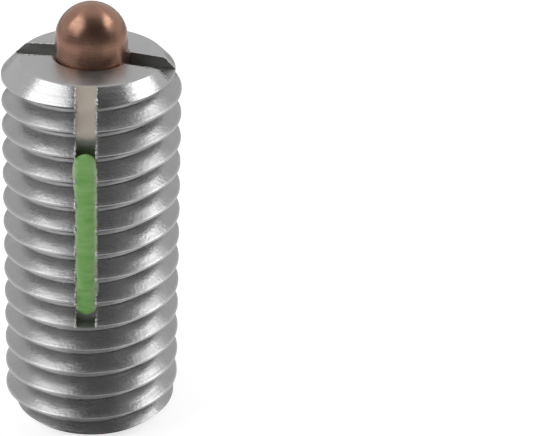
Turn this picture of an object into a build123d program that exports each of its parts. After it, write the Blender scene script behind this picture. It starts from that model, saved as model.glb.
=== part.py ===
from build123d import *
import math
import os

os.makedirs("parts", exist_ok=True)

# Spring plunger with an M10 x 1.5 thread. All lengths are in millimetres.
# The axis is Z. The rear face lies on Z = 0, the nose of the pin points up,
# and the groove with the thread-lock strip faces -Y.

# Threaded sleeve
body_length = 22.0
front_flat_d = 8.0
front_face_fall = 0.1
rear_flat_d = 8.1

# External thread, right-handed, 60 degrees between the flanks. On the +X side
# the middle of its valley lies thread_lag below the rear face.
thread_major_d = 9.97
thread_pitch = 1.5
thread_lag = 0.13
thread_depth = 0.92
thread_crest_flat = 0.19
flank_angle = 30.0
crest_overlap = 0.06

# Bore for the nose, shoulder and spring chamber
nose_d = 4.0
nose_clearance = 0.05
bore_mouth_chamfer = 0.13
guide_length = 4.0
chamber_d = 6.0
rear_mouth_chamfer = 0.5

# Driver slot across the front face
slot_width = 1.6
slot_depth = 0.7
slot_angle = -11.0

# Milled groove, run out at its rear end by the round of the cutter
groove_width = 1.15
groove_depth = 1.035
groove_length = 14.4
groove_cutter_d = 12.0

# Thread-lock strip in the groove
strip_start = 3.7
strip_length = 10.0
strip_fit = 0.01
strip_end_radius = 0.5

# Thrust pin
nose_protrusion = 3.0
collar_clearance = 0.1
collar_length = 1.5
collar_chamfer = 0.2
spigot_clearance = 0.15
spigot_length = 1.5
spigot_chamfer = 0.3

# Compression spring, ends closed and ground, wire drawn with flat sides
wire_d = 0.6
wire_sides = 6
spring_clearance = 0.2
spring_turns = 5.5
closed_turns = 1.0

# Plug with hexagon socket
plug_fit = 0.01
plug_recess = 0.35
plug_length = 6.65
plug_chamfer = 0.35
hex_across_flats = 3.0
hex_depth = 2.8
hex_countersink_d = 4.6
hex_drill_point = 0.6

# Radii and heights worked out from the sizes above
major_r = thread_major_d / 2
root_r = major_r - thread_depth
bore_r = nose_d / 2 + nose_clearance
chamber_r = chamber_d / 2
front_edge_z = body_length - front_face_fall
shoulder_z = body_length - guide_length
collar_z = shoulder_z - collar_length
plug_top_z = plug_recess + plug_length
groove_floor_r = major_r - groove_depth
groove_end_z = body_length - groove_length
run_out_z = groove_end_z + math.sqrt(groove_depth * (groove_cutter_d - groove_depth))
coil_r = chamber_r - spring_clearance - wire_d / 2

# Half section through the groove: first the radius, then the height
section = Plane(origin=(0, 0, 0), x_dir=(0, -1, 0), z_dir=(-1, 0, 0))

# One turn of the thread's valley, from the +X side round to it again
flank_slope = math.tan(math.radians(flank_angle))
root_half = (thread_pitch - thread_crest_flat) / 2 - thread_depth * flank_slope
mouth_depth = thread_depth + crest_overlap
mouth_half = root_half + mouth_depth * flank_slope
with BuildPart() as thread_turn:
    with BuildLine() as thread_helix:
        Helix(thread_pitch, thread_pitch, root_r)
    with BuildSketch(Plane(thread_helix.line @ 0, x_dir=(1, 0, 0), z_dir=thread_helix.line % 0)):
        with BuildLine():
            Polyline(
                (0, -root_half),
                (mouth_depth, -mouth_half),
                (mouth_depth, mouth_half),
                (0, root_half),
                close=True,
            )
        make_face()
    sweep(path=thread_helix.line, is_frenet=True)

# Sleeve: turned blank, thread, driver slot and groove
thread_turns = math.ceil(body_length / thread_pitch) + 1
with BuildPart() as threaded_sleeve:
    with BuildSketch(section):
        with BuildLine():
            Polyline(
                (chamber_r + rear_mouth_chamfer, 0),
                (rear_flat_d / 2, 0),
                (major_r, major_r - rear_flat_d / 2),
                (major_r, front_edge_z - (major_r - front_flat_d / 2)),
                (front_flat_d / 2, front_edge_z),
                (bore_r + bore_mouth_chamfer, body_length),
                (bore_r, body_length - bore_mouth_chamfer),
                (bore_r, shoulder_z),
                (chamber_r, shoulder_z),
                (chamber_r, rear_mouth_chamfer),
                close=True,
            )
        make_face()
    revolve(axis=Axis.Z)
    with Locations(*[(0, 0, turn * thread_pitch - thread_lag) for turn in range(-1, thread_turns)]):
        add(thread_turn.part, mode=Mode.SUBTRACT)
    with BuildSketch(Plane.XY.offset(body_length - slot_depth)):
        Rectangle(2 * thread_major_d, slot_width, rotation=slot_angle)
    extrude(amount=2 * slot_depth, mode=Mode.SUBTRACT)
    with BuildSketch(section):
        with BuildLine():
            Line((groove_floor_r, body_length), (groove_floor_r, run_out_z))
            RadiusArc((groove_floor_r, run_out_z), (major_r, groove_end_z), -groove_cutter_d / 2)
            Polyline(
                (major_r, groove_end_z),
                (2 * major_r, groove_end_z),
                (2 * major_r, body_length),
                (groove_floor_r, body_length),
            )
        make_face()
    extrude(amount=groove_width / 2, both=True, mode=Mode.SUBTRACT)
threaded_sleeve.part.label = "threaded_sleeve"
export_step(threaded_sleeve.part, "parts/threaded_sleeve.step")

# Strip: fills the groove from its floor to the thread crests, with round ends
strip_r = groove_floor_r + strip_fit
strip_top_z = body_length - strip_start
with BuildPart() as thread_lock_strip:
    with BuildSketch(section):
        with BuildLine():
            Line((strip_r, strip_top_z), (strip_r, run_out_z))
            RadiusArc((strip_r, run_out_z), (major_r, groove_end_z + strip_fit), -groove_cutter_d / 2)
            Polyline(
                (major_r, groove_end_z + strip_fit),
                (major_r, strip_top_z),
                (strip_r, strip_top_z),
            )
        make_face()
    extrude(amount=groove_width / 2 - strip_fit, both=True)
    with BuildSketch(Plane.XZ):
        with Locations((0, strip_top_z - strip_length / 2)):
            RectangleRounded(groove_width - 2 * strip_fit, strip_length, strip_end_radius)
    extrude(amount=2 * major_r, mode=Mode.INTERSECT)
thread_lock_strip.part.label = "thread_lock_strip"
export_step(thread_lock_strip.part, "parts/thread_lock_strip.step")

# Thrust pin: round nose, collar that stops at the shoulder, spigot in the spring
nose_r = nose_d / 2
nose_centre_z = body_length + nose_protrusion - nose_r
collar_r = chamber_r - collar_clearance
spigot_r = coil_r - wire_d / 2 - spigot_clearance
spigot_end_z = collar_z - spigot_length
with BuildPart() as thrust_pin:
    with BuildSketch(section):
        with BuildLine():
            Polyline(
                (0, nose_centre_z + nose_r),
                (0, spigot_end_z),
                (spigot_r - spigot_chamfer, spigot_end_z),
                (spigot_r, spigot_end_z + spigot_chamfer),
                (spigot_r, collar_z),
                (collar_r - collar_chamfer, collar_z),
                (collar_r, collar_z + collar_chamfer),
                (collar_r, shoulder_z - collar_chamfer),
                (collar_r - collar_chamfer, shoulder_z),
                (nose_r, shoulder_z),
                (nose_r, nose_centre_z),
            )
            CenterArc((0, nose_centre_z), nose_r, 0, 90)
        make_face()
    revolve(axis=Axis.Z)
thrust_pin.part.label = "thrust_pin"
export_step(thrust_pin.part, "parts/thrust_pin.step")


def coil_stretch(pitch, turns, base_z, turns_below):
    """One stretch of the coil's centre line, set where the turns below it end."""
    stretch = Edge.make_helix(pitch, pitch * turns, coil_r)
    return stretch.moved(Location((0, 0, base_z), (0, 0, 360 * turns_below)))


# Spring: closed turns at both ends, open turns between, ground flat on the
# plug and on the collar
spring_length = collar_z - plug_top_z
ground_depth = wire_d / 4
open_turns = spring_turns - 2 * closed_turns
closed_rise = closed_turns * wire_d
open_rise = spring_length - 2 * (ground_depth + closed_rise)
lower_z = plug_top_z + ground_depth
open_z = lower_z + closed_rise
coil_path = Wire(
    [
        coil_stretch(wire_d, closed_turns, lower_z, 0),
        coil_stretch(open_rise / open_turns, open_turns, open_z, closed_turns),
        coil_stretch(wire_d, closed_turns, open_z + open_rise, closed_turns + open_turns),
    ]
)
with BuildPart() as compression_spring:
    with BuildSketch(Plane(coil_path @ 0, z_dir=coil_path % 0)):
        RegularPolygon(wire_d / 2, wire_sides)
    sweep(path=coil_path, is_frenet=True)
    with BuildSketch(Plane.XY.offset(plug_top_z)):
        Circle(chamber_r)
    extrude(amount=spring_length, mode=Mode.INTERSECT)
compression_spring.part.label = "compression_spring"
export_step(compression_spring.part, "parts/compression_spring.step")

# Plug: closes the chamber, with a countersunk hexagon socket in its rear face
plug_r = chamber_r - plug_fit
hex_r = hex_across_flats / 2
countersink_z = plug_recess + hex_countersink_d / 2 - hex_r
hex_end_z = plug_recess + hex_depth
with BuildPart() as hex_plug:
    with BuildSketch(section):
        with BuildLine():
            Polyline(
                (0, plug_recess),
                (plug_r - plug_chamfer, plug_recess),
                (plug_r, plug_recess + plug_chamfer),
                (plug_r, plug_top_z - plug_chamfer),
                (plug_r - plug_chamfer, plug_top_z),
                (0, plug_top_z),
                close=True,
            )
        make_face()
    revolve(axis=Axis.Z)
    with BuildSketch(Plane.XY.offset(plug_recess)):
        RegularPolygon(hex_r, 6, major_radius=False)
    extrude(amount=hex_depth, mode=Mode.SUBTRACT)
    with BuildSketch(section):
        with BuildLine():
            Polyline(
                (0, plug_recess),
                (hex_countersink_d / 2, plug_recess),
                (hex_r, countersink_z),
                (hex_r, hex_end_z),
                (0, hex_end_z + hex_drill_point),
                close=True,
            )
        make_face()
    revolve(axis=Axis.Z, mode=Mode.SUBTRACT)
hex_plug.part.label = "hex_plug"
export_step(hex_plug.part, "parts/hex_plug.step")
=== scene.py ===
import math
import bpy
import bmesh
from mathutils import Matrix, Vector, noise


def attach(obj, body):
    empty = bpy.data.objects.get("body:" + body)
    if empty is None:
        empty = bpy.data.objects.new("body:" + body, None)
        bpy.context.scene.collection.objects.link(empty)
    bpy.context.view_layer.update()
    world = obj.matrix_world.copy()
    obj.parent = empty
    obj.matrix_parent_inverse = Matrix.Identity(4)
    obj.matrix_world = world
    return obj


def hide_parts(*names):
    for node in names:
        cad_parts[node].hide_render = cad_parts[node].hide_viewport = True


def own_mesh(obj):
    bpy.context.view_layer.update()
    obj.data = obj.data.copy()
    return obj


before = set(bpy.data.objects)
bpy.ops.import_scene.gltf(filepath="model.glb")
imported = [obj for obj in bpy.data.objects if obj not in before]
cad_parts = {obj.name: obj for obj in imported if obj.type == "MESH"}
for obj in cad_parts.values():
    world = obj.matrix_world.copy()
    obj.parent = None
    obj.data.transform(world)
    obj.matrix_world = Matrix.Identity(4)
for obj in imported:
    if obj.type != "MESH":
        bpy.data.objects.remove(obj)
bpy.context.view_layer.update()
scene = bpy.context.scene
scene.view_settings.view_transform = "Standard"

# Lengths are written in millimetres and turned to metres by MM.
MM = 0.001
UP = Vector((0, 0, 1))

# Sleeve as it is turned, before its thread
LENGTH = 22.0
FRONT_FLAT_R = 4.0
FRONT_FACE_FALL = 0.1
FRONT_EDGE_Z = LENGTH - FRONT_FACE_FALL
REAR_FLAT_R = 4.05
BORE_R = 2.05
BORE_MOUTH = 0.13
CHAMBER_R = 3.0
REAR_MOUTH = 0.5
SHOULDER_Z = 18.0

# Thread. The middle of its valley lies THREAD_LAG below the rear face on the +X side.
CREST_R = 4.985
THREAD_DEPTH = 0.93
THREAD_PITCH = 1.5
THREAD_LAG = 0.22
CREST_FLAT = 0.1
UPPER_FLANK = math.radians(35)
LOWER_FLANK = math.radians(30)
LAST_VALLEY_Z = 20.85
RUN_OUT = 0.35
# Rows lie closer together at the crest's edge and in the root: where each row
# stands between the middle of the crest, 0, and the middle of the valley, 1.
ROW_PLACES = [0, 0.05, 0.062, 0.075, 0.1, 0.35, 0.62, 0.73, 0.79, 0.84, 0.91, 0.955, 1]

# Groove for the strip, and the driver slot across the front face
GROOVE_WIDTH = 1.15
GROOVE_FLOOR_R = 3.95
GROOVE_END_Z = 7.6
GROOVE_CORNER = 0.3
SLOT_WIDTH = 1.6
SLOT_DEPTH = 0.7
SLOT_FLOOR_Z = LENGTH - SLOT_DEPTH
SLOT_TURN = math.radians(-11)
ALONG_SLOT = Vector((math.cos(SLOT_TURN), math.sin(SLOT_TURN), 0))
ACROSS_SLOT = Vector((-math.sin(SLOT_TURN), math.cos(SLOT_TURN), 0))

# The cutters and the blank reach past the sleeve.
BLANK_R = 5.1
GROOVE_CUTTER_R = 8.0
SLOT_CUTTER_R = 7.0
CUTTERS_TOP_Z = 24.0

# Strip
STRIP_BOTTOM_Z = 8.15
STRIP_TOP_Z = 18.3
STRIP_FIT = 0.01
STRIP_FLOOR_GAP = 0.02
STRIP_END_R = 0.5
STRIP_TIP = 0.12
STRIP_BULGE_Z = 17.3
STRIP_LEAN = 0.5
CROWN_FALL = 0.15
# As (height, value) rows: how far its squeezed lip stands beyond the groove's
# wall on each side, and how far its crown stands from the axis.
LEFT_LIP = [(8.3, 0.0), (10, -0.02), (12, 0.0), (15.4, 0.0), (16.4, 0.13), (17.2, 0.18), (18.1, 0.04)]
RIGHT_LIP = [(8.3, 0.0), (9.2, 0.1), (10.4, 0.17), (11.6, 0.08), (14, 0.05), (17.0, 0.06), (18.1, 0.0)]
CROWN = [(8.15, 4.5), (8.6, 4.7), (9.86, 4.72), (9.96, 4.965), (17.3, 4.97), (18.0, 4.93), (18.3, 4.8)]

# Spring at rest
SPRING_LOW = 7.0
SPRING_HIGH = 16.5
COIL_R = 2.5
WIRE_R = 0.3

# Camera and lamps: directions in degrees, reach and aim in metres
VIEW_TURN = -86.2
VIEW_RISE = 27.6
VIEW_REACH = 145.2 * MM
TARGET = Vector((0, 0, 11.89 * MM))
LAMP_REACH = 0.3


# Helpers

def rgb(code):
    """An sRGB hex colour as linear red, green, blue and alpha."""
    parts = [int(code[i:i + 2], 16) / 255 for i in (1, 3, 5)]
    return [c / 12.92 if c < 0.04045 else ((c + 0.055) / 1.055) ** 2.4 for c in parts] + [1.0]


def fill(made, inputs):
    """Set or link a node's inputs: numbers, nodes or sockets, in order or by name."""
    pairs = inputs.items() if isinstance(inputs, dict) else enumerate(inputs)
    for key, value in pairs:
        if isinstance(value, bpy.types.Node):
            value = value.outputs[0]
        if isinstance(value, bpy.types.NodeSocket):
            made.id_data.links.new(value, made.inputs[key])
        elif value is not None:
            made.inputs[key].default_value = value


def node(tree, kind, inputs=(), **settings):
    """Add a node with its settings and its inputs."""
    made = tree.nodes.new(kind)
    for name, value in settings.items():
        setattr(made, name, value)
    fill(made, inputs)
    return made


def piece(name, mesh):
    """A new object that shows a mesh."""
    made = bpy.data.objects.new(name, mesh)
    scene.collection.objects.link(made)
    return made


def built(name, build):
    """A new piece from a bmesh, with its faces turned outwards."""
    bmesh.ops.recalc_face_normals(build, faces=build.faces)
    mesh = bpy.data.meshes.new(name)
    build.to_mesh(mesh)
    build.free()
    return piece(name, mesh)


def bridge(build, ring, after):
    """Join two rings of vertices by a band of faces."""
    for i in range(len(ring)):
        j = (i + 1) % len(ring)
        build.faces.new((ring[i], ring[j], after[j], after[i]))


def baked(obj):
    """The object with its modifiers applied to its mesh and removed."""
    ready = obj.evaluated_get(bpy.context.evaluated_depsgraph_get())
    mesh = bpy.data.meshes.new_from_object(ready)
    obj.modifiers.clear()
    obj.data = mesh
    return obj


def geometry_tree(name, sizes):
    """A geometry tree with a named input for each size."""
    tree = bpy.data.node_groups.new(name, "GeometryNodeTree")
    for label, kind in sizes.items():
        tree.interface.new_socket(label, in_out="INPUT", socket_type=kind)
    tree.interface.new_socket("Geometry", in_out="OUTPUT", socket_type="NodeSocketGeometry")
    return tree


def end_tree(tree, geometry, metal):
    """Close a geometry tree with plain geometry in one finish."""
    whole = node(tree, "GeometryNodeRealizeInstances", {"Geometry": geometry})
    dressed = node(tree, "GeometryNodeSetMaterial", {"Geometry": whole, "Material": metal})
    node(tree, "NodeGroupOutput", (dressed,))


def grown(name, tree, sizes):
    """A new piece made by a geometry tree from the given sizes."""
    made = piece(name, bpy.data.meshes.new(name))
    modifier = made.modifiers.new(tree.name, "NODES")
    modifier.node_group = tree
    for item in tree.interface.items_tree:
        if item.in_out == "INPUT" and item.name in sizes:
            modifier[item.identifier] = sizes[item.name]
    return baked(made)


def soften(outline, corner_steps=3):
    """Round the corners of an outline of (radius, height, rounding) points."""
    points = []
    count = len(outline)
    for i, (r, z, rounding) in enumerate(outline):
        here = Vector((r, z))
        if not rounding:
            points.append(here)
            continue
        before = Vector(outline[i - 1][:2])
        after = Vector(outline[(i + 1) % count][:2])
        start = here + (before - here).normalized() * rounding
        end = here + (after - here).normalized() * rounding
        for step in range(corner_steps + 1):
            t = step / corner_steps
            points.append(start * (1 - t) ** 2 + here * 2 * t * (1 - t) + end * t * t)
    return points


def turned(name, outline, segments):
    """A ring turned about Z from a closed outline."""
    points = soften(outline)
    build = bmesh.new()
    rings = []
    for k in range(segments):
        a = 2 * math.pi * k / segments
        across, depth = math.cos(a) * MM, math.sin(a) * MM
        rings.append([build.verts.new((p.x * across, p.x * depth, p.y * MM)) for p in points])
    for k in range(segments):
        bridge(build, rings[k], rings[(k + 1) % segments])
    return built(name, build)


def prism(name, corners, half_width, across):
    """A solid with one flat outline, extruded both ways along a direction."""
    build = bmesh.new()
    reach = across * half_width
    left = [build.verts.new((corner - reach) * MM) for corner in corners]
    right = [build.verts.new((corner + reach) * MM) for corner in corners]
    build.faces.new(left)
    build.faces.new(list(reversed(right)))
    bridge(build, left, right)
    return built(name, build)


def cut(target, tool, metal, operation="DIFFERENCE"):
    """Cut a piece by a tool's shape. The cut faces get the tool's finish."""
    if metal:
        tool.data.materials.append(metal)
    modifier = target.modifiers.new(tool.name, "BOOLEAN")
    modifier.operation = operation
    modifier.solver = "MANIFOLD"
    modifier.material_mode = "TRANSFER"
    modifier.object = tool
    baked(target)
    bpy.data.objects.remove(tool)


def smooth_but_sharp(obj, degrees):
    """Shade a piece smooth, apart from edges sharper than an angle."""
    obj.data.shade_smooth()
    obj.data.set_sharp_from_angle(angle=math.radians(degrees))


# Materials

def finish(name):
    """A new material with its tree, its Principled shader and the Object coordinates."""
    made = bpy.data.materials.new(name)
    made.use_nodes = True
    tree = made.node_tree
    return made, tree, tree.nodes["Principled BSDF"], node(tree, "ShaderNodeTexCoord").outputs["Object"]


def turning_marks(tree, flat, radius, height, line, length):
    """Noise drawn out round the axis, on faces of any slope: its lines are this far apart and this long."""
    slope = node(tree, "ShaderNodeMath", (radius, 1.7, height), operation="MULTIPLY_ADD")
    along = node(tree, "ShaderNodeVectorMath", (flat, [1 / (length * MM)] * 3), operation="MULTIPLY")
    across = node(tree, "ShaderNodeMath", (slope, 1 / (line * MM)), operation="MULTIPLY")
    lifted = node(tree, "ShaderNodeCombineXYZ", {"Z": across})
    path = node(tree, "ShaderNodeVectorMath", (along, lifted), operation="ADD")
    return node(tree, "ShaderNodeTexNoise", {"Vector": path, "Scale": 1.0, "Detail": 3.0})


def metal_finish(name, colours, rough, line, length, mark, grain=0.0, valley_shade=1.0, dent=0.0):
    """Bare metal marked round the axis. Its lines are this far apart, this long and this deep, and its dents
    this deep, all in millimetres; grain draws out its highlights, and painted shade darkens it away from the
    thread's crests to the given share of its colour."""
    made, tree, shader, place = finish(name)
    if grain:
        round_axis = node(tree, "ShaderNodeTangent", direction_type="RADIAL", axis="Z")
        fill(shader, {"Tangent": round_axis, "Anisotropic": grain, "Anisotropic Rotation": 0.25})
    apart = node(tree, "ShaderNodeSeparateXYZ", (place,)).outputs
    flat = node(tree, "ShaderNodeCombineXYZ", (apart[0], apart[1]))
    radius = node(tree, "ShaderNodeVectorMath", (flat,), operation="LENGTH").outputs["Value"]
    marks = turning_marks(tree, flat, radius, apart[2], line, length)
    patches = node(tree, "ShaderNodeTexNoise", {"Vector": place, "Scale": 1 / (1.1 * MM), "Detail": 4.0})
    both = node(tree, "ShaderNodeMath", (marks, patches), operation="MULTIPLY")
    roughness = node(tree, "ShaderNodeMapRange", (both, 0.1, 0.42, *rough))
    tint = node(
        tree, "ShaderNodeMix", {0: patches, 6: rgb(colours[0]), 7: rgb(colours[1])}, data_type="RGBA",
    )
    # Painted shade: below the thread's crests the colour is darkened to the given share.
    shade = node(tree, "ShaderNodeMapRange", (radius, 4.86 * MM, 4.93 * MM, valley_shade, 1.0))
    shaded = node(tree, "ShaderNodeVectorMath", (tint.outputs[2], shade), operation="MULTIPLY")
    bump = node(tree, "ShaderNodeBump", {"Strength": 0.6, "Distance": mark * MM, "Height": marks})
    if dent:
        dents = node(tree, "ShaderNodeTexNoise", {"Vector": place, "Scale": 1 / (0.2 * MM), "Detail": 3.0})
        bump = node(
            tree, "ShaderNodeBump",
            {"Strength": 1.0, "Distance": dent * MM, "Height": dents, "Normal": bump},
        )
    fill(shader, {"Base Color": shaded, "Metallic": 1.0, "Roughness": roughness, "Normal": bump})
    return made


def groove_finish():
    """Steel milled matt along the groove. Its colour is painted light: pale and warm above the strip, as a
    painted reflection, and darker and greyer round the strip."""
    made, tree, shader, place = finish("stainless_steel_milled_matt")
    height = node(tree, "ShaderNodeSeparateXYZ", (place,)).outputs[2]
    spread = node(tree, "ShaderNodeTexNoise", {"Vector": place, "Scale": 1 / (0.8 * MM), "Detail": 3.0})
    level = node(tree, "ShaderNodeMath", (spread, 0.8 * MM, height), operation="MULTIPLY_ADD")
    # Painted light: pale and warm above the strip's top, darker and greyer round the strip, with a wavy
    # boundary between them.
    painted_light_above_strip = node(
        tree, "ShaderNodeMapRange", (level, 18.95 * MM, 19.35 * MM, 0.0, 1.0),
        interpolation_type="SMOOTHSTEP",
    )
    tint = node(
        tree, "ShaderNodeMix", {0: painted_light_above_strip, 6: rgb("#c2c3bd"), 7: rgb("#f2e8dc")}, data_type="RGBA",
    )
    # Milling strokes: nine to a millimetre across, long along the groove.
    strokes = node(tree, "ShaderNodeVectorMath", (place, (9 / MM, 9 / MM, 1.2 / MM)), operation="MULTIPLY")
    lines = node(tree, "ShaderNodeTexNoise", {"Vector": strokes, "Scale": 1.0, "Detail": 3.0})
    bump = node(tree, "ShaderNodeBump", {"Strength": 0.6, "Distance": 0.006 * MM, "Height": lines})
    fill(shader, {"Base Color": tint.outputs[2], "Metallic": 1.0, "Roughness": 0.55, "Normal": bump})
    return made


def strip_finish():
    """Green polyamide pressed into the groove: satin, with thin pale rims and faint ripples across."""
    made, tree, shader, place = finish("polyamide_squeezed")
    apart = node(tree, "ShaderNodeSeparateXYZ", (place,)).outputs
    # Ripples: about four to a millimetre along the strip.
    drawn = node(tree, "ShaderNodeVectorMath", (place, (0.9 / MM, 0.9 / MM, 4.2 / MM)), operation="MULTIPLY")
    ripples = node(tree, "ShaderNodeTexNoise", {"Vector": drawn, "Scale": 1.0, "Detail": 3.0})
    patches = node(tree, "ShaderNodeTexNoise", {"Vector": place, "Scale": 1 / (1.2 * MM), "Detail": 4.0})
    blotchy = node(tree, "ShaderNodeMath", (ripples, patches), operation="ADD")
    toned = node(tree, "ShaderNodeMapRange", (blotchy, 0.55, 1.45, 0.0, 1.0))
    green = node(
        tree, "ShaderNodeMix", {0: toned, 6: rgb("#62a046"), 7: rgb("#94bc78")}, data_type="RGBA",
    )
    aside = node(tree, "ShaderNodeMath", (apart[0],), operation="ABSOLUTE")
    frayed = node(tree, "ShaderNodeTexNoise", {"Vector": place, "Scale": 1 / (0.35 * MM), "Detail": 3.0})
    edge = node(tree, "ShaderNodeMath", (frayed, 0.3 * MM, aside), operation="MULTIPLY_ADD")
    rim = node(
        tree, "ShaderNodeMapRange", (edge, 0.52 * MM, 0.78 * MM, 0.0, 1.0),
        interpolation_type="SMOOTHSTEP",
    )
    rimmed = node(
        tree, "ShaderNodeMix", {0: rim, 6: green.outputs[2], 7: rgb("#aabf9a")}, data_type="RGBA",
    )
    # A speckled grey film of metal dust lies on the lower part of one edge.
    specks = node(tree, "ShaderNodeTexNoise", {"Vector": place, "Scale": 1 / (0.09 * MM), "Detail": 2.0})
    beside = node(tree, "ShaderNodeMath", (specks, 1.4 * MM, apart[0]), operation="MULTIPLY_ADD")
    dusty = node(
        tree, "ShaderNodeMapRange", (beside, 1.12 * MM, 1.3 * MM, 0.0, 0.85),
        interpolation_type="SMOOTHSTEP",
    )
    low = node(
        tree, "ShaderNodeMapRange", (apart[2], 11.3 * MM, 12.0 * MM, 1.0, 0.0),
        interpolation_type="SMOOTHSTEP",
    )
    dust = node(tree, "ShaderNodeMath", (dusty, low), operation="MULTIPLY")
    dusted = node(
        tree, "ShaderNodeMix", {0: dust, 6: rimmed.outputs[2], 7: rgb("#83857f")}, data_type="RGBA",
    )
    bump = node(tree, "ShaderNodeBump", {"Strength": 0.7, "Distance": 0.03 * MM, "Height": ripples})
    fill(shader, {
        "Base Color": dusted.outputs[2],
        "Roughness": 0.32,
        "IOR": 1.53,
        "Subsurface Weight": 0.25,
        "Subsurface Scale": 0.3 * MM,
        "Normal": bump,
    })
    return made


# Austenitic stainless steel, thread rolled: burnished flanks with long faint lines round the turns and small
# dents. Painted shade darkens everything below the crests, so the crests look brighter than the valleys.
rolled_steel = metal_finish(
    "stainless_steel_rolled", ("#b0b0b0", "#c6c6c6"), rough=(0.22, 0.38),
    line=0.09, length=2.2, mark=0.006, grain=0.4, valley_shade=0.8, dent=0.012,
)
# The same steel where it was turned: bright, with fine rings that draw out
# the highlights.
turned_steel = metal_finish(
    "stainless_steel_turned", ("#b4b4b4", "#c6c6c6"), rough=(0.15, 0.32),
    line=0.05, length=3.5, mark=0.007, grain=0.7, dent=0.006,
)
# Its front face, faced off: duller, with fainter rings.
faced_steel = metal_finish(
    "stainless_steel_faced", ("#b2b2b2", "#c6c6c6"), rough=(0.34, 0.48),
    line=0.05, length=3.5, mark=0.004,
)
# Its burrs, torn up by the cutters: pale, rough and matt.
torn_steel = metal_finish(
    "stainless_steel_torn", ("#dcdcdb", "#ecebea"), rough=(0.35, 0.5),
    line=0.05, length=0.3, mark=0.006,
)
# Its slot, milled: darker and dull, with short marks.
milled_steel = metal_finish(
    "stainless_steel_milled", ("#a0a09f", "#b5b5b4"), rough=(0.35, 0.5),
    line=0.09, length=0.4, mark=0.0015,
)
groove_steel = groove_finish()
# Drawn spring steel wire: grey, with faint drawing lines.
wire_steel = metal_finish(
    "spring_steel_drawn", ("#9a9a9a", "#b4b4b4"), rough=(0.25, 0.4),
    line=0.06, length=2.0, mark=0.003,
)
# The pin, burnished bronze: warm brown, with highlights drawn out round it.
pin_metal = metal_finish(
    "bronze_burnished", ("#95705f", "#b28b79"), rough=(0.2, 0.34),
    line=0.06, length=3.0, mark=0.004, grain=0.75,
)
strip_plastic = strip_finish()


# Threaded rod: a long grid, one pitch wide, wound round the axis

def row_spacing(tree, even):
    """Move rows that stand evenly from 0 to 1 to the places of the thread's rows."""
    spacing = node(tree, "ShaderNodeFloatCurve", {"Value": even})
    knots = spacing.mapping.curves[0].points
    for k, place in enumerate(ROW_PLACES[1:-1], start=1):
        knots.new(k / (len(ROW_PLACES) - 1), place)
    for knot in knots:
        knot.handle_type = "VECTOR"
    spacing.mapping.update()
    return spacing


def thread_profile(tree, size, turn, from_crest, above):
    """The thread's radius at a share of the pitch from the crest, on its upper or lower side."""
    away = node(tree, "ShaderNodeMath", (from_crest, size["Pitch"]), operation="MULTIPLY")
    half_flat = node(tree, "ShaderNodeMath", (size["Crest Flat"], 0.5), operation="MULTIPLY")
    past_flat = node(tree, "ShaderNodeMath", (away, half_flat), operation="SUBTRACT")
    slope = node(tree, "ShaderNodeMix", (above, None, size["Lower Slope"], size["Upper Slope"]))
    drop = node(tree, "ShaderNodeMath", (past_flat, slope), operation="DIVIDE")
    flank = node(tree, "ShaderNodeMath", (size["Crest Radius"], drop), operation="SUBTRACT")
    valley = node(
        tree, "ShaderNodeMath", (flank, size["Root Radius"], size["Root Rounding"]),
        operation="SMOOTH_MAX",
    )
    full = node(
        tree, "ShaderNodeMath", (valley, size["Crest Radius"], size["Crest Rounding"]),
        operation="SMOOTH_MIN",
    )
    # The last valley runs out before it reaches the chamfer at the front.
    beside_valley = node(tree, "ShaderNodeMath", (turn, above), operation="ADD")
    valley_z = node(
        tree, "ShaderNodeMath", (beside_valley, size["Pitch"], size["Start"]), operation="MULTIPLY_ADD",
    )
    run_end = node(tree, "ShaderNodeMath", (size["Last Valley"], size["Run Out"]), operation="ADD")
    kept = node(tree, "ShaderNodeMapRange", (valley_z, size["Last Valley"], run_end, 1.0, 0.0))
    cut_in = node(tree, "ShaderNodeMath", (full, size["Crest Radius"]), operation="SUBTRACT")
    return node(tree, "ShaderNodeMath", (cut_in, kept, size["Crest Radius"]), operation="MULTIPLY_ADD")


def nicked(tree, size, profile, cosine, sine, height):
    """The radius with small nicks, only ever inwards, so that the crests stay inside the blank."""
    around_x = node(tree, "ShaderNodeMath", (cosine, profile), operation="MULTIPLY")
    around_y = node(tree, "ShaderNodeMath", (sine, profile), operation="MULTIPLY")
    surface = node(tree, "ShaderNodeCombineXYZ", (around_x, around_y, height))
    nick_scale = node(tree, "ShaderNodeMath", (1.0, size["Nick Length"]), operation="DIVIDE")
    nick = node(tree, "ShaderNodeTexNoise", {"Vector": surface, "Scale": nick_scale, "Detail": 3.0})
    nick_in = node(tree, "ShaderNodeMath", (nick, size["Nick Depth"]), operation="MULTIPLY")
    return node(tree, "ShaderNodeMath", (profile, nick_in), operation="SUBTRACT")


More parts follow.
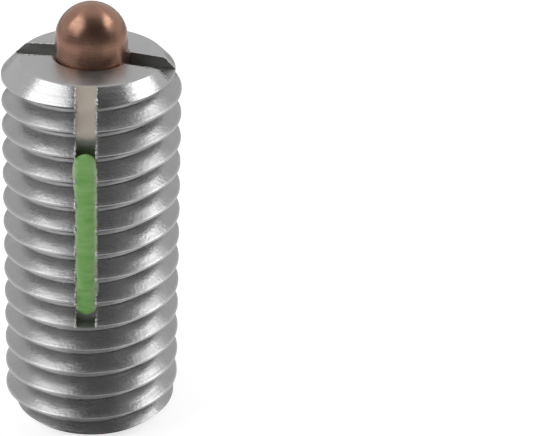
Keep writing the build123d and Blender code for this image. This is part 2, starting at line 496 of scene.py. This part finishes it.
def pointed_ends(tree, size, rod):
    """Draw both ragged ends of the rod to a point on the axis, which closes it."""
    rim = node(tree, "FunctionNodeCompare", data_type="INT", operation="EQUAL")
    fill(rim, {2: node(tree, "GeometryNodeInputMeshEdgeNeighbors"), 3: 1})
    here = node(tree, "GeometryNodeInputPosition")
    here_z = node(tree, "ShaderNodeSeparateXYZ", (here,)).outputs[2]
    wound_length = node(tree, "ShaderNodeMath", (size["Pitch"], size["Turns"]), operation="MULTIPLY")
    half_way = node(tree, "ShaderNodeMath", (wound_length, 0.5), operation="MULTIPLY")
    upper = node(tree, "ShaderNodeMath", (here_z, half_way), operation="GREATER_THAN")
    lowest = node(tree, "ShaderNodeMath", (size["Start"], size["Pitch"]), operation="SUBTRACT")
    span = node(tree, "ShaderNodeMath", (size["Pitch"], 4.0, wound_length), operation="MULTIPLY_ADD")
    apex_z = node(tree, "ShaderNodeMath", (upper, span, lowest), operation="MULTIPLY_ADD")
    apex = node(tree, "ShaderNodeCombineXYZ", {"Z": apex_z})
    reach = node(tree, "ShaderNodeVectorMath", (apex, here), operation="SUBTRACT")
    drawn = node(
        tree, "GeometryNodeExtrudeMesh",
        {"Mesh": rod, "Selection": rim, "Offset": reach, "Offset Scale": 1.0},
        mode="EDGES",
    )
    pointed = node(
        tree, "GeometryNodeSetPosition",
        {"Geometry": drawn, "Selection": drawn.outputs["Top"], "Position": apex},
    )
    return node(tree, "GeometryNodeMergeByDistance", {"Geometry": pointed, "Distance": 0.001 * MM})


def thread_rolling():
    """The tree that winds the threaded rod."""
    tree = geometry_tree("thread_rolling", {
        "Pitch": "NodeSocketFloat",
        "Turns": "NodeSocketFloat",
        "Start": "NodeSocketFloat",
        "Crest Radius": "NodeSocketFloat",
        "Root Radius": "NodeSocketFloat",
        "Crest Flat": "NodeSocketFloat",
        "Upper Slope": "NodeSocketFloat",
        "Lower Slope": "NodeSocketFloat",
        "Crest Rounding": "NodeSocketFloat",
        "Root Rounding": "NodeSocketFloat",
        "Last Valley": "NodeSocketFloat",
        "Run Out": "NodeSocketFloat",
        "Nick Depth": "NodeSocketFloat",
        "Nick Length": "NodeSocketFloat",
        "Segments": "NodeSocketInt",
        "Rows": "NodeSocketInt",
        "Finish": "NodeSocketMaterial",
    })
    size = node(tree, "NodeGroupInput").outputs
    steps = node(tree, "ShaderNodeMath", (size["Turns"], size["Segments"], 1.0), operation="MULTIPLY_ADD")
    rows = node(tree, "ShaderNodeMath", (size["Rows"], 1.0), operation="ADD")
    grid = node(tree, "GeometryNodeMeshGrid", (1.0, 1.0, steps, rows))
    spot = node(tree, "ShaderNodeSeparateXYZ", (node(tree, "GeometryNodeInputPosition"),)).outputs
    u = node(tree, "ShaderNodeMath", (spot[0], 0.5), operation="ADD")
    turn = node(tree, "ShaderNodeMath", (u, size["Turns"]), operation="MULTIPLY")
    aside = node(tree, "ShaderNodeMath", (spot[1],), operation="ABSOLUTE")
    even = node(tree, "ShaderNodeMath", (aside, 2.0), operation="MULTIPLY")
    from_crest = node(tree, "ShaderNodeMath", (row_spacing(tree, even), 0.5), operation="MULTIPLY")
    above = node(tree, "ShaderNodeMath", (spot[1], 0.0), operation="GREATER_THAN")
    side_of_crest = node(tree, "ShaderNodeMath", (spot[1],), operation="SIGN")
    v = node(tree, "ShaderNodeMath", (from_crest, side_of_crest, 0.5), operation="MULTIPLY_ADD")
    level = node(tree, "ShaderNodeMath", (turn, v), operation="ADD")
    height = node(tree, "ShaderNodeMath", (level, size["Pitch"], size["Start"]), operation="MULTIPLY_ADD")
    angle = node(tree, "ShaderNodeMath", (turn, 2 * math.pi), operation="MULTIPLY")
    cosine = node(tree, "ShaderNodeMath", (angle,), operation="COSINE")
    sine = node(tree, "ShaderNodeMath", (angle,), operation="SINE")
    profile = thread_profile(tree, size, turn, from_crest, above)
    radius = nicked(tree, size, profile, cosine, sine, height)
    x = node(tree, "ShaderNodeMath", (cosine, radius), operation="MULTIPLY")
    y = node(tree, "ShaderNodeMath", (sine, radius), operation="MULTIPLY")
    surface = node(tree, "ShaderNodeCombineXYZ", (x, y, height))
    wound = node(tree, "GeometryNodeSetPosition", {"Geometry": grid, "Position": surface})
    joined = node(tree, "GeometryNodeMergeByDistance", {"Geometry": wound, "Distance": 0.001 * MM})
    end_tree(tree, pointed_ends(tree, size, joined), size["Finish"])
    return tree


# Sleeve: the threaded rod, turned, grooved and slotted

# The rod reaches more than a turn past both ends of the blank.
sleeve = grown("sleeve_with_thread", thread_rolling(), {
    "Pitch": THREAD_PITCH * MM,
    "Turns": 19.0,
    "Start": (-2 * THREAD_PITCH - THREAD_LAG) * MM,
    "Crest Radius": CREST_R * MM,
    "Root Radius": (CREST_R - THREAD_DEPTH) * MM,
    "Crest Flat": CREST_FLAT * MM,
    "Upper Slope": math.tan(UPPER_FLANK),
    "Lower Slope": math.tan(LOWER_FLANK),
    "Crest Rounding": 0.02 * MM,
    "Root Rounding": 0.06 * MM,
    "Last Valley": LAST_VALLEY_Z * MM,
    "Run Out": RUN_OUT * MM,
    "Nick Depth": 0.03 * MM,
    "Nick Length": 0.5 * MM,
    "Segments": 150,
    "Rows": 2 * (len(ROW_PLACES) - 1),
    "Finish": rolled_steel,
})

# Each corner of the blank has its own small rounding, or none.
blank = turned("turned_blank", [
    (CHAMBER_R + REAR_MOUTH, 0, 0.08),
    (REAR_FLAT_R, 0, 0.08),
    (BLANK_R, BLANK_R - REAR_FLAT_R, 0),
    (BLANK_R, FRONT_EDGE_Z - (BLANK_R - FRONT_FLAT_R), 0),
    (FRONT_FLAT_R, FRONT_EDGE_Z, 0.1),
    (BORE_R + BORE_MOUTH, LENGTH, 0.05),
    (BORE_R, LENGTH - BORE_MOUTH, 0.05),
    (BORE_R, SHOULDER_Z, 0.05),
    (CHAMBER_R, SHOULDER_Z, 0),
    (CHAMBER_R, REAR_MOUTH, 0.05),
], segments=144)
blank.data.materials.append(turned_steel)
blank.data.materials.append(faced_steel)
# The front face and the mouth of its bore are faced off.
for side in blank.data.polygons:
    if side.center.z > (FRONT_EDGE_Z - 0.02) * MM:
        side.material_index = 1
cut(sleeve, blank, None, "INTERSECT")

# The groove's rear end is steep, with a rounded corner at its floor.
groove_outline = [
    Vector((0, -GROOVE_CUTTER_R, GROOVE_END_Z)),
    Vector((0, -GROOVE_CUTTER_R, CUTTERS_TOP_Z)),
    Vector((0, -GROOVE_FLOOR_R, CUTTERS_TOP_Z)),
]
corner_steps = 6
for step in range(corner_steps + 1):
    a = math.pi / 2 * step / corner_steps
    groove_outline.append(Vector((
        0,
        -GROOVE_FLOOR_R - GROOVE_CORNER * (1 - math.cos(a)),
        GROOVE_END_Z + GROOVE_CORNER * (1 - math.sin(a)),
    )))
cut(sleeve, prism("groove_cutter", groove_outline, GROOVE_WIDTH / 2, Vector((1, 0, 0))), groove_steel)

slot_outline = [
    UP * SLOT_FLOOR_Z - ALONG_SLOT * SLOT_CUTTER_R,
    UP * SLOT_FLOOR_Z + ALONG_SLOT * SLOT_CUTTER_R,
    UP * CUTTERS_TOP_Z + ALONG_SLOT * SLOT_CUTTER_R,
    UP * CUTTERS_TOP_Z - ALONG_SLOT * SLOT_CUTTER_R,
]
cut(sleeve, prism("slot_cutter", slot_outline, SLOT_WIDTH / 2, ACROSS_SLOT), milled_steel)

smooth_but_sharp(sleeve, degrees=35)
weighted = sleeve.modifiers.new("flat_sides_stay_flat", "WEIGHTED_NORMAL")
weighted.mode = "FACE_AREA_WITH_ANGLE"
weighted.keep_sharp = True
baked(sleeve)
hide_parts("threaded_sleeve")
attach(sleeve, "sleeve")


# Burrs: uneven beads along the sharp edges that the cutters left

def burr_raising():
    """The tree that raises a bead along the edges of a cut, at half its width to both sides."""
    tree = geometry_tree("burr_raising", {
        "Body": "NodeSocketObject",
        "Across": "NodeSocketVector",
        "Facing": "NodeSocketVector",
        "Half Width": "NodeSocketFloat",
        "Lowest": "NodeSocketFloat",
        "Highest": "NodeSocketFloat",
        "Thickness": "NodeSocketFloat",
        "Raggedness": "NodeSocketFloat",
        "Step": "NodeSocketFloat",
        "Finish": "NodeSocketMaterial",
    })
    size = node(tree, "NodeGroupInput").outputs
    body = node(tree, "GeometryNodeObjectInfo", {"Object": size["Body"]}).outputs["Geometry"]
    spot = node(tree, "GeometryNodeInputPosition")
    offset = node(tree, "ShaderNodeVectorMath", (spot, size["Across"]), operation="DOT_PRODUCT")
    distance = node(tree, "ShaderNodeMath", (offset.outputs["Value"],), operation="ABSOLUTE")
    on_wall = node(tree, "ShaderNodeMath", (distance, size["Half Width"], 0.002 * MM), operation="COMPARE")
    bend = node(tree, "GeometryNodeInputMeshEdgeAngle").outputs["Unsigned Angle"]
    sharp = node(tree, "ShaderNodeMath", (bend, math.radians(30)), operation="GREATER_THAN")
    facing = node(tree, "ShaderNodeVectorMath", (spot, size["Facing"]), operation="DOT_PRODUCT")
    ahead = facing.outputs["Value"]
    outer = node(tree, "ShaderNodeMath", (ahead, size["Lowest"]), operation="GREATER_THAN")
    sharp_wall = node(tree, "ShaderNodeMath", (on_wall, sharp), operation="MULTIPLY")
    wanted = node(tree, "ShaderNodeMath", (sharp_wall, outer), operation="MULTIPLY")
    edges = node(tree, "GeometryNodeMeshToCurve", {"Mesh": body, "Selection": wanted})
    fine = node(tree, "GeometryNodeResampleCurve", {"Curve": edges, "Length": size["Step"]}, mode="LENGTH")
    grain = node(tree, "ShaderNodeMath", (1.0, size["Raggedness"]), operation="DIVIDE")
    speck = node(tree, "ShaderNodeTexNoise", {"Scale": grain, "Detail": 2.0})
    swell = node(tree, "ShaderNodeMapRange", (speck, 0.44, 0.6, 0.15, 1.0))
    width = node(tree, "ShaderNodeMath", (swell, size["Thickness"]), operation="MULTIPLY")
    section = node(tree, "GeometryNodeCurvePrimitiveCircle", {"Resolution": 6, "Radius": 1.0})
    bead = node(
        tree, "GeometryNodeCurveToMesh",
        {"Curve": fine, "Profile Curve": section, "Scale": width, "Fill Caps": True},
    )
    # The bead is squashed flat where it would stand above its highest place.
    excess = node(tree, "ShaderNodeMath", (ahead, size["Highest"]), operation="SUBTRACT")
    pressed = node(tree, "ShaderNodeMath", (excess, 0.0), operation="MAXIMUM")
    back = node(tree, "ShaderNodeMath", (pressed, -1.0), operation="MULTIPLY")
    press = node(tree, "ShaderNodeVectorMath", {0: size["Facing"], "Scale": back}, operation="SCALE")
    flattened = node(tree, "GeometryNodeSetPosition", {"Geometry": bead, "Offset": press})
    end_tree(tree, flattened, size["Finish"])
    return tree


def raise_burrs(name, across, facing, half_width, lowest, highest, thickness):
    """The beads on both edges of one cut, between its lowest and highest place along facing."""
    burrs = grown(name, burr_tree, {
        "Body": sleeve,
        "Across": across,
        "Facing": facing,
        "Half Width": half_width * MM,
        "Lowest": lowest * MM,
        "Highest": highest * MM,
        "Thickness": thickness * MM,
        "Raggedness": 0.13 * MM,
        "Step": 0.035 * MM,
        "Finish": torn_steel,
    })
    burrs.data.shade_smooth()
    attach(burrs, "sleeve")


burr_tree = burr_raising()
raise_burrs(
    "groove_burrs", across=Vector((1, 0, 0)), facing=Vector((0, -1, 0)), half_width=GROOVE_WIDTH / 2,
    lowest=GROOVE_FLOOR_R + 0.1, highest=CREST_R - 0.005, thickness=0.085,
)
raise_burrs(
    "slot_burrs", across=ACROSS_SLOT, facing=UP, half_width=SLOT_WIDTH / 2,
    lowest=SLOT_FLOOR_Z + 0.05, highest=LENGTH + 0.03, thickness=0.045,
)


# Strip, squeezed into the groove

def between(table, z):
    """Read a table of (height, value) rows, smoothly between its rows."""
    if z <= table[0][0]:
        return table[0][1]
    for (z0, a), (z1, b) in zip(table, table[1:]):
        if z <= z1:
            t = (z - z0) / (z1 - z0)
            t = t * t * (3 - 2 * t)
            return a + (b - a) * t
    return table[-1][1]


def uneven(place, waves, amount, z):
    """A smooth wander up to an amount, with so many waves to a millimetre of height."""
    return amount * noise.noise(Vector((place, 0, z * waves)))


def strip_side(foot, top, inner, lip):
    """One side of the strip's section, from its foot up to its squeezed lip."""
    rise = top - foot
    return [
        (inner * 0.6, foot),
        (inner, foot + 0.02),
        (inner, foot + 0.3 * rise),
        (inner, foot + 0.55 * rise),
        (lip, foot + 0.72 * rise),
        (lip, foot + 0.84 * rise),
    ]


def strip_section(z):
    """The strip's outline at one height, as points in the groove: aside, outwards and up."""
    from_end = min(z - STRIP_BOTTOM_Z, STRIP_TOP_Z - z)
    into_end = min(1.0, max(0.0, 1 - from_end / STRIP_END_R))
    # The ends are round, down to a blunt tip that is this share of the width.
    taper = max(STRIP_TIP, math.sqrt(1 - into_end ** 2))
    wall = GROOVE_WIDTH / 2 - STRIP_FIT
    left = (wall + between(LEFT_LIP, z) + uneven(7.3, 2.1, 0.05, z)) * taper
    right = (wall + between(RIGHT_LIP, z) + uneven(1.7, 3.3, 0.06, z)) * taper
    foot = GROOVE_FLOOR_R + STRIP_FLOOR_GAP
    top = between(CROWN, z) - uneven(3.1, 1.4, 0.01, z)
    outline = [(0, foot)] + [(-x, r) for x, r in strip_side(foot, top, wall * taper, left)]
    for share in (-0.86, -0.6, -0.3, 0, 0.3, 0.6, 0.86):
        half = left if share < 0 else right
        outline.append((share * half, top - CROWN_FALL * share ** 2))
    outline += reversed(strip_side(foot, top, wall * taper, right))
    # The top end bulges over, so that its foot lies further down the groove.
    lean = STRIP_LEAN * max(0.0, min(1.0, z - STRIP_BULGE_Z)) ** 2
    return [(x, r, z - lean * (top - r) / (top - foot)) for x, r in outline]


build = bmesh.new()
rings = []
stations = 160
for k in range(stations + 1):
    z = STRIP_BOTTOM_Z + (STRIP_TOP_Z - STRIP_BOTTOM_Z) * k / stations
    rings.append([build.verts.new((x * MM, -r * MM, up * MM)) for x, r, up in strip_section(z)])
for ring, after in zip(rings, rings[1:]):
    bridge(build, ring, after)
build.faces.new(rings[0])
build.faces.new(rings[-1])
strip = built("thread_lock_strip_squeezed", build)
strip.data.materials.append(strip_plastic)
rounding = strip.modifiers.new("soft", "SUBSURF")
rounding.levels = rounding.render_levels = 1
baked(strip)
strip.data.shade_smooth()
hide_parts("thread_lock_strip")
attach(strip, "sleeve")


# Spring

def coil_height(tree, size, turned_by):
    """The wire's height after some turns: the closed turns rise by one wire each, and the open
    turns share the rest."""
    wire = node(tree, "ShaderNodeMath", (size["Wire Radius"], 2.0), operation="MULTIPLY")
    low_end = node(tree, "ShaderNodeMath", (size["Low"], size["Grinding"]), operation="ADD")
    high_end = node(tree, "ShaderNodeMath", (size["High"], size["Grinding"]), operation="SUBTRACT")
    closed_rise = node(tree, "ShaderNodeMath", (size["Closed Turns"], wire), operation="MULTIPLY")
    last_open = node(tree, "ShaderNodeMath", (size["Turns"], size["Closed Turns"]), operation="SUBTRACT")
    open_low = node(tree, "ShaderNodeMath", (low_end, closed_rise), operation="ADD")
    open_high = node(tree, "ShaderNodeMath", (high_end, closed_rise), operation="SUBTRACT")
    first = node(tree, "ShaderNodeMapRange", (turned_by, 0.0, size["Closed Turns"], low_end, open_low))
    second = node(tree, "ShaderNodeMapRange", (turned_by, size["Closed Turns"], last_open, 0.0, 1.0))
    third = node(tree, "ShaderNodeMapRange", (turned_by, last_open, size["Turns"], 0.0, closed_rise))
    open_span = node(tree, "ShaderNodeMath", (open_high, open_low), operation="SUBTRACT")
    rise = node(tree, "ShaderNodeMath", (second, open_span, first), operation="MULTIPLY_ADD")
    return node(tree, "ShaderNodeMath", (rise, third), operation="ADD")


def coil_winding():
    """The tree that winds the spring and grinds its ends."""
    tree = geometry_tree("coil_winding", {
        "Coil Radius": "NodeSocketFloat",
        "Wire Radius": "NodeSocketFloat",
        "Turns": "NodeSocketFloat",
        "Closed Turns": "NodeSocketFloat",
        "Low": "NodeSocketFloat",
        "High": "NodeSocketFloat",
        "Grinding": "NodeSocketFloat",
        "Steps": "NodeSocketInt",
        "Finish": "NodeSocketMaterial",
    })
    size = node(tree, "NodeGroupInput").outputs
    line = node(tree, "GeometryNodeCurvePrimitiveLine", {"End": (0.0, 0.0, 1.0)})
    points = node(tree, "GeometryNodeResampleCurve", {"Curve": line, "Count": size["Steps"]})
    along = node(tree, "GeometryNodeSplineParameter").outputs["Factor"]
    turned_by = node(tree, "ShaderNodeMath", (along, size["Turns"]), operation="MULTIPLY")
    angle = node(tree, "ShaderNodeMath", (turned_by, 2 * math.pi), operation="MULTIPLY")
    cosine = node(tree, "ShaderNodeMath", (angle,), operation="COSINE")
    sine = node(tree, "ShaderNodeMath", (angle,), operation="SINE")
    x = node(tree, "ShaderNodeMath", (cosine, size["Coil Radius"]), operation="MULTIPLY")
    y = node(tree, "ShaderNodeMath", (sine, size["Coil Radius"]), operation="MULTIPLY")
    centre = node(tree, "ShaderNodeCombineXYZ", (x, y, coil_height(tree, size, turned_by)))
    wound = node(tree, "GeometryNodeSetPosition", {"Geometry": points, "Position": centre})
    section = node(
        tree, "GeometryNodeCurvePrimitiveCircle", {"Resolution": 16, "Radius": size["Wire Radius"]},
    )
    wire = node(
        tree, "GeometryNodeCurveToMesh", {"Curve": wound, "Profile Curve": section, "Fill Caps": True},
    )
    # The ends are ground flat, square to the axis.
    here = node(tree, "ShaderNodeSeparateXYZ", (node(tree, "GeometryNodeInputPosition"),)).outputs
    ground_low = node(tree, "ShaderNodeMath", (here[2], size["Low"]), operation="MAXIMUM")
    ground_z = node(tree, "ShaderNodeMath", (ground_low, size["High"]), operation="MINIMUM")
    flat_end = node(tree, "ShaderNodeCombineXYZ", (here[0], here[1], ground_z))
    ground = node(tree, "GeometryNodeSetPosition", {"Geometry": wire, "Position": flat_end})
    end_tree(tree, ground, size["Finish"])
    return tree


spring = grown("spring_coil", coil_winding(), {
    "Coil Radius": COIL_R * MM,
    "Wire Radius": WIRE_R * MM,
    "Turns": 5.5,
    "Closed Turns": 1.0,
    "Low": SPRING_LOW * MM,
    "High": SPRING_HIGH * MM,
    "Grinding": WIRE_R / 2 * MM,
    "Steps": 260,
    "Finish": wire_steel,
})
smooth_but_sharp(spring, degrees=50)
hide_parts("compression_spring")
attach(spring, "sleeve")
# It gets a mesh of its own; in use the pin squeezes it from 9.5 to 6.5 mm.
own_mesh(spring)


# Pin and plug keep their solids and get their finish

for name, metal in (("thrust_pin", pin_metal), ("hex_plug", turned_steel)):
    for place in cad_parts[name].material_slots:
        place.material = metal


# Floor, lamps, room and camera

def toward(turn, rise):
    """A direction from the object, turned right from the camera's and raised from level, in degrees."""
    turn_angle = math.radians(VIEW_TURN + turn)
    rise_angle = math.radians(rise)
    level = math.cos(rise_angle)
    return Vector((math.cos(turn_angle) * level, math.sin(turn_angle) * level, math.sin(rise_angle)))


def paper_with_painted_glow(name, colour):
    """Matt paper on a table, plain to the eye. In reflections on metal it also glows round the object as
    painted light. The glow stops further off and in a sector on the camera's side, which is left dark as
    painted shade."""
    made = bpy.data.materials.new(name)
    made.use_nodes = True
    tree = made.node_tree
    tree.nodes.clear()
    place = node(tree, "ShaderNodeTexCoord").outputs["Object"]
    front = node(tree, "ShaderNodeVectorMath", (place, tuple(toward(0, 0))), operation="DOT_PRODUCT")
    away = node(tree, "ShaderNodeVectorMath", (place,), operation="LENGTH").outputs["Value"]
    ahead = node(tree, "ShaderNodeMath", (front.outputs["Value"], away), operation="DIVIDE")
    # Painted glow, seen only in mirror rays: none in the sector toward the camera, fading out further from
    # the object.
    glow_away_from_camera = node(tree, "ShaderNodeMapRange", (ahead, 0.7, 0.95, 1.0, 0.0), interpolation_type="SMOOTHSTEP")
    reach = node(tree, "ShaderNodeMapRange", (away, 0.07, 0.12, 0.5, 0.0), interpolation_type="SMOOTHSTEP")
    glow = node(tree, "ShaderNodeMath", (glow_away_from_camera, reach), operation="MULTIPLY")
    ray = node(tree, "ShaderNodeLightPath").outputs
    mirrored = node(
        tree, "ShaderNodeMath", (ray["Is Glossy Ray"], ray["Is Transmission Ray"]), operation="MAXIMUM",
    )
    plain = node(tree, "ShaderNodeMath", (ray["Is Camera Ray"], 0.66), operation="MULTIPLY")
    level = node(tree, "ShaderNodeMath", (glow, mirrored, plain), operation="MULTIPLY_ADD")
    matt = node(tree, "ShaderNodeBsdfDiffuse", {"Color": rgb(colour)})
    shine = node(tree, "ShaderNodeEmission", {"Color": rgb("#ffffff"), "Strength": level})
    node(tree, "ShaderNodeOutputMaterial", (node(tree, "ShaderNodeAddShader", (matt, shine)),))
    return made


def softbox(name, turn, rise, width, height, radiance, mirrored=True):
    """A soft rectangular lamp that faces the object; unless mirrored it lights matt surfaces only."""
    data = bpy.data.lights.new(name, "AREA")
    data.shape = "RECTANGLE"
    data.size = width
    data.size_y = height
    data.energy = radiance * math.pi * width * height
    lamp = bpy.data.objects.new(name, data)
    scene.collection.objects.link(lamp)
    direction = toward(turn, rise)
    lamp.location = TARGET + direction * LAMP_REACH
    lamp.rotation_euler = direction.to_track_quat("Z", "Y").to_euler()
    lamp.visible_glossy = mirrored


def grey_room():
    """A plain room, lighter behind the object than on the camera's side."""
    world = bpy.data.worlds.new("grey_room")
    world.use_nodes = True
    tree = world.node_tree
    ray = node(tree, "ShaderNodeTexCoord").outputs["Generated"]
    back = node(tree, "ShaderNodeVectorMath", (ray, tuple(-toward(0, 0))), operation="DOT_PRODUCT")
    grey = node(
        tree, "ShaderNodeMapRange", (back.outputs["Value"], -0.4, 0.35, 0.08, 0.74),
        interpolation_type="SMOOTHSTEP",
    )
    fill(tree.nodes["Background"], {"Color": rgb("#ffffff"), "Strength": grey})
    return world


floor_half = 1.5
mesh = bpy.data.meshes.new("paper_floor")
corners = [(x * floor_half, y * floor_half, 0) for x, y in ((-1, -1), (1, -1), (1, 1), (-1, 1))]
mesh.from_pydata(corners, [], [(0, 1, 2, 3)])
paper = piece("paper_floor", mesh)
paper.data.materials.append(paper_with_painted_glow("white_paper", "#cbcbcb"))

softbox("softbox_left", turn=-74, rise=47, width=0.24, height=0.2, radiance=1.82)
softbox("softbox_right", turn=94, rise=47.5, width=0.18, height=0.1, radiance=2.4)
softbox("softbox_front", turn=-10, rise=15, width=0.2, height=0.2, radiance=2.6, mirrored=False)
scene.world = grey_room()

lens = bpy.data.cameras.new("camera")
lens.sensor_width = 36.0
lens.lens = 168.2
lens.shift_x = 0.3337
lens.clip_start = 0.005
camera = bpy.data.objects.new("camera", lens)
scene.collection.objects.link(camera)
camera.location = TARGET + toward(0, VIEW_RISE) * VIEW_REACH
camera.rotation_euler = (TARGET - camera.location).to_track_quat("-Z", "Y").to_euler()
scene.camera = camera
